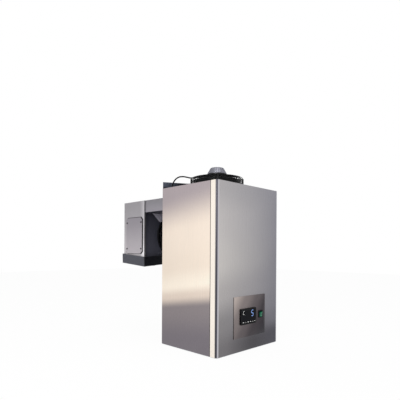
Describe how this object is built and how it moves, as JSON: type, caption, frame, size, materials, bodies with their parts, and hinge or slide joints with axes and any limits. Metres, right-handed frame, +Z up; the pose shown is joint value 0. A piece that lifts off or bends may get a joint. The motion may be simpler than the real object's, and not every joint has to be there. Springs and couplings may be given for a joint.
{
  "type": "monoblock refrigeration unit",
  "caption": "Upright steel cabinet with a wire-guarded fan on top and a hanging evaporator box joined to its back by a low neck that bridges a cold-room wall.",
  "frame": {"origin": "at floor level, in the middle of the width and of the whole depth", "axes": "+X to the right along the front, +Y from the control panel towards the evaporator, +Z up"},
  "size_m": [0.4, 0.6447, 0.77],
  "materials": {
    "cabinet_steel": "brushed, slightly warm",
    "wall_steel": "satin",
    "evaporator_steel": "satin",
    "cover_steel": "satin",
    "dark_steel": "satin",
    "tray_steel": "satin",
    "galvanised": "galvanised",
    "plate_steel": "dark brushed",
    "black_wire": "satin black",
    "black_plastic": "satin",
    "controller_black": "gloss",
    "window": "gloss, dark",
    "rocker_green": "translucent, lit",
    "motor_alu": "satin cast",
    "shaft_steel": "ground",
    "fin_alu": "bare",
    "copper": "bare",
    "compressor_black": "gloss",
    "screw_steel": "bright",
    "dark_screw": "satin",
    "rubber": "matt",
    "gasket_foam": "matt foam",
    "core_foam": "matt foam",
    "grille_plastic": "satin",
    "grey_plastic": "satin"
  },
  "bodies": {
    "unit": {"base_pan": "galvanised", "front_cover": "cabinet_steel", "left_panel": "cabinet_steel", "right_panel": "cabinet_steel", "rear_wall": "wall_steel", "wall_gasket": "gasket_foam", "front_posts": "galvanised", "fan_deck": "galvanised", "coil_rails": "galvanised", "condenser_coil": "fin_alu", "condenser_fan_ring": "black_plastic", "condenser_guard": "black_wire", "guard_screws": "screw_steel", "condenser_motor": "motor_alu", "fan_cable": "rubber", "deck_grommet": "rubber", "compressor": "compressor_black", "compressor_feet": "compressor_black", "compressor_grommets": "rubber", "compressor_bolts": "screw_steel", "terminal_cover": "black_plastic", "discharge_pipe": "copper", "liquid_pipe": "copper", "suction_pipe": "copper", "filter_drier": "copper", "box_rails": "galvanised", "electrical_box": "grey_plastic", "electrical_box_lid": "grey_plastic", "control_plate": "plate_steel", "controller_body": "controller_black", "controller_window": "window", "rocker_housing": "controller_black", "mains_gland": "black_plastic", "rear_screws": "screw_steel", "neck_cover": "evaporator_steel", "neck_floor": "dark_steel", "neck_core": "core_foam", "evap_housing": "evaporator_steel", "evap_access_cover": "cover_steel", "access_screws": "dark_screw", "evap_fan_plate": "dark_steel", "evap_apron": "evaporator_steel", "evap_fan_ring": "black_plastic", "evap_guard": "black_wire", "evap_motor": "compressor_black", "evap_bracket": "galvanised", "evap_coil": "fin_alu", "coil_straps": "galvanised", "outlet_grille": "grille_plastic", "drip_tray": "tray_steel", "tray_screws": "screw_steel", "drain_spout": "black_plastic"},
    "condenser_rotor": {"condenser_shaft": "shaft_steel", "condenser_fan": "black_plastic"},
    "evaporator_rotor": {"evap_shaft": "shaft_steel", "evap_fan": "black_plastic"},
    "rocker": {"switch_rocker": "rocker_green"}
  },
  "joints": [
    {"name": "condenser_fan_spin", "type": "hinge", "parent": "unit", "child": "condenser_rotor", "pos_m": [0, -0.129, 0.6855], "axis": [0, 0, 1], "continuous": true},
    {"name": "evaporator_fan_spin", "type": "hinge", "parent": "unit", "child": "evaporator_rotor", "pos_m": [0, 0.181, 0.474], "axis": [0, 1, 0], "continuous": true},
    {"name": "rocker_tilt", "type": "hinge", "parent": "unit", "child": "rocker", "pos_m": [0.072, -0.3108, 0.1385], "axis": [1, 0, 0], "range_deg": [-18, 0]}
  ]
}
